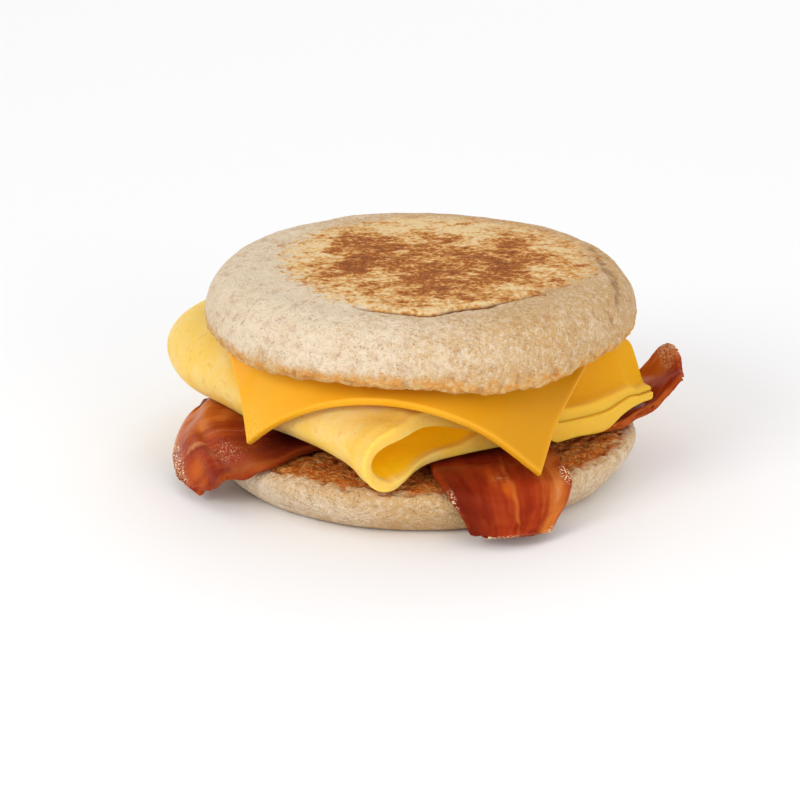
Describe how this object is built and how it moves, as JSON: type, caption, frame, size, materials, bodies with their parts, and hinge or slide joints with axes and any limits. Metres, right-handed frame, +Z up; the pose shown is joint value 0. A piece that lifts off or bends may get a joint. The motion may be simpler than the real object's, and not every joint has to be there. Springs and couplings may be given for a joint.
{
  "type": "english muffin sandwich",
  "caption": "Toasted English muffin breakfast sandwich filled with crossed bacon strips, a folded egg and a square of melted cheese.",
  "frame": {"origin": "middle of the base half's flat underside, on the surface that the sandwich stands on", "axes": "+Z up; -Y towards the viewer, where the egg's open fold and the cheese's corners hang; +X towards the curled right end of the long bacon strip"},
  "size_m": [0.1169, 0.1093, 0.0478],
  "materials": {
    "bread": "floury, matte, browned on the griddled faces",
    "bacon": "glossy, streaked with fat",
    "egg": "smooth, soft sheen",
    "cheese": "smooth, soft gloss"
  },
  "bodies": {
    "root": {"muffin_base": "bread", "bacon_strip_long": "bacon", "bacon_strip_front": "bacon", "folded_egg": "egg", "cheese_slice": "cheese", "muffin_crown": "bread"}
  },
  "joints": []
}
